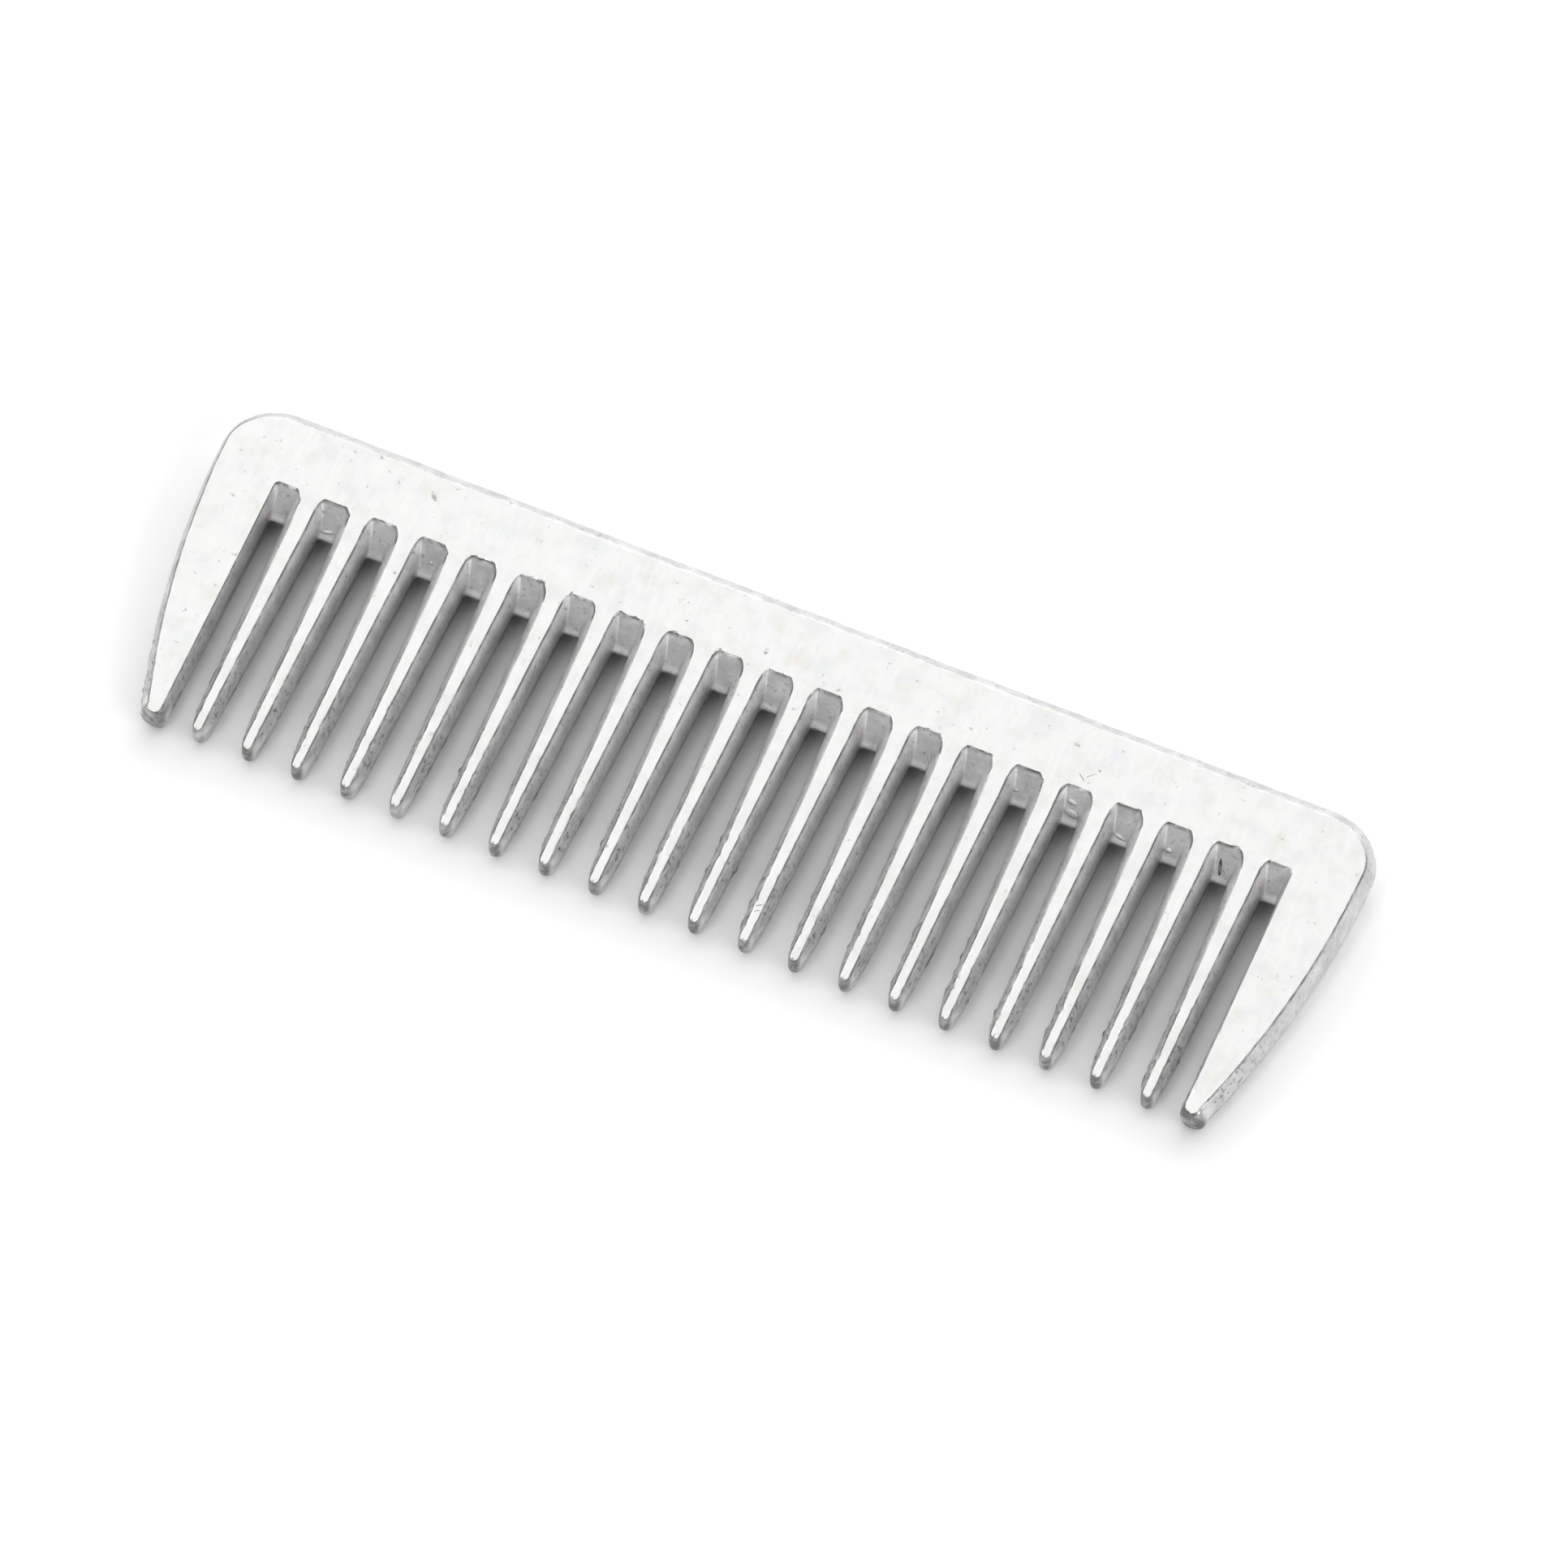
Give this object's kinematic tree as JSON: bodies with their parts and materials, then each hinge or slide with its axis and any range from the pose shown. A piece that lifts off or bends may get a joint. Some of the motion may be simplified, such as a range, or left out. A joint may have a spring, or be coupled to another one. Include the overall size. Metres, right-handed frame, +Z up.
{
  "type": "grooming comb",
  "caption": "Flat cast aluminium grooming comb: a wide spine, wide guards at both ends and straight tapered teeth with rounded tips between them",
  "frame": {"origin": "centre of the bounding box, on the underside that the comb lies on", "axes": "+X along the comb, +Y from the tooth tips to the spine's back, +Z up through the thickness"},
  "size_m": [0.102, 0.0299, 0.0049],
  "materials": {
    "cast_aluminium": "ground and linished broad faces, walls between the teeth left as cast"
  },
  "bodies": {
    "root": {"spine": "cast_aluminium", "end_guard_left": "cast_aluminium", "end_guard_right": "cast_aluminium", "tooth_01": "cast_aluminium", "tooth_02": "cast_aluminium", "tooth_03": "cast_aluminium", "tooth_04": "cast_aluminium", "tooth_05": "cast_aluminium", "tooth_06": "cast_aluminium", "tooth_07": "cast_aluminium", "tooth_08": "cast_aluminium", "tooth_09": "cast_aluminium", "tooth_10": "cast_aluminium", "tooth_11": "cast_aluminium", "tooth_12": "cast_aluminium", "tooth_13": "cast_aluminium", "tooth_14": "cast_aluminium", "tooth_15": "cast_aluminium", "tooth_16": "cast_aluminium", "tooth_17": "cast_aluminium", "tooth_18": "cast_aluminium", "tooth_19": "cast_aluminium", "tooth_20": "cast_aluminium"}
  },
  "joints": []
}
